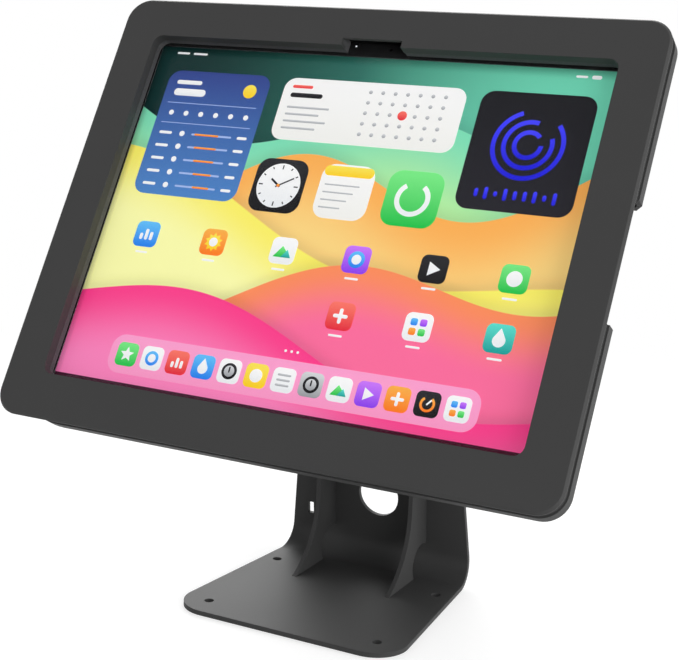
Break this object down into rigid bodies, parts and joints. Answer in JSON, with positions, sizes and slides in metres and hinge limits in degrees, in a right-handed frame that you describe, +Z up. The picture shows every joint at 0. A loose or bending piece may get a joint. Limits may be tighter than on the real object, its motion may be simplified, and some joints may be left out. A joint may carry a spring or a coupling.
{
  "type": "locking tablet desk stand",
  "caption": "Desk stand with a folded steel foot, a tilting and turning head, and a locking enclosure that holds a tablet behind a chamfered front frame.",
  "frame": {"origin": "centre of the four desk screw holes, on the underside of the foot that rests on the desk", "axes": "+Z up, +X to the right of a user who faces the screen, -Y towards the user, so the screen faces -Y and leans back"},
  "size_m": [0.3096, 0.1502, 0.3113],
  "materials": {
    "powder_coat": "satin black powder coat",
    "zinc_steel": "zinc plated",
    "black_steel": "black oxide",
    "nylon": "matte",
    "foam": "closed cell foam",
    "anodised": "bead blasted",
    "display": "lit display",
    "glass": "clear",
    "chrome": "polished"
  },
  "bodies": {
    "stand": {"base_bracket": "powder_coat", "left_rib": "powder_coat", "right_rib": "powder_coat", "tilt_bolt": "zinc_steel", "tilt_nut": "zinc_steel", "friction_washers": "nylon"},
    "head": {"tilt_yoke": "powder_coat", "tilt_spacer": "zinc_steel"},
    "enclosure": {"brake_ring": "nylon", "swivel_spindle": "zinc_steel", "wave_washer": "zinc_steel", "locking_ring": "zinc_steel", "mounting_plate": "powder_coat", "mounting_screws": "black_steel", "rear_shell": "powder_coat", "back_pad": "foam", "tablet_body": "anodised", "tablet_display": "display", "tablet_glass": "glass", "hinge_rear_leaves": "zinc_steel", "lock_housing": "chrome", "lock_screws": "black_steel"},
    "cover": {"front_frame": "powder_coat", "window_gasket": "foam", "hinge_front_leaves": "zinc_steel", "hinge_pins": "zinc_steel", "lock_strike": "zinc_steel"},
    "lock": {"lock_plug": "chrome", "lock_cam": "zinc_steel", "cam_screw": "zinc_steel"}
  },
  "joints": [
    {"name": "head_tilt", "type": "hinge", "parent": "stand", "child": "head", "pos_m": [0, 0.031, 0.177], "axis": [-1, 0, 0], "range_deg": [-30, 55]},
    {"name": "head_swivel", "type": "hinge", "parent": "head", "child": "enclosure", "pos_m": [0, 0.031, 0.177], "axis": [0, -0.8625, 0.506], "range_deg": [-90, 90]},
    {"name": "cover_open", "type": "hinge", "parent": "enclosure", "child": "cover", "pos_m": [0, 0.04699, 0.30513], "axis": [-1, 0, 0], "range_deg": [0, 100]},
    {"name": "lock_turn", "type": "hinge", "parent": "enclosure", "child": "lock", "pos_m": [0, -0.06187, 0.10001], "axis": [0, -0.8625, 0.506], "range_deg": [0, 90]}
  ]
}
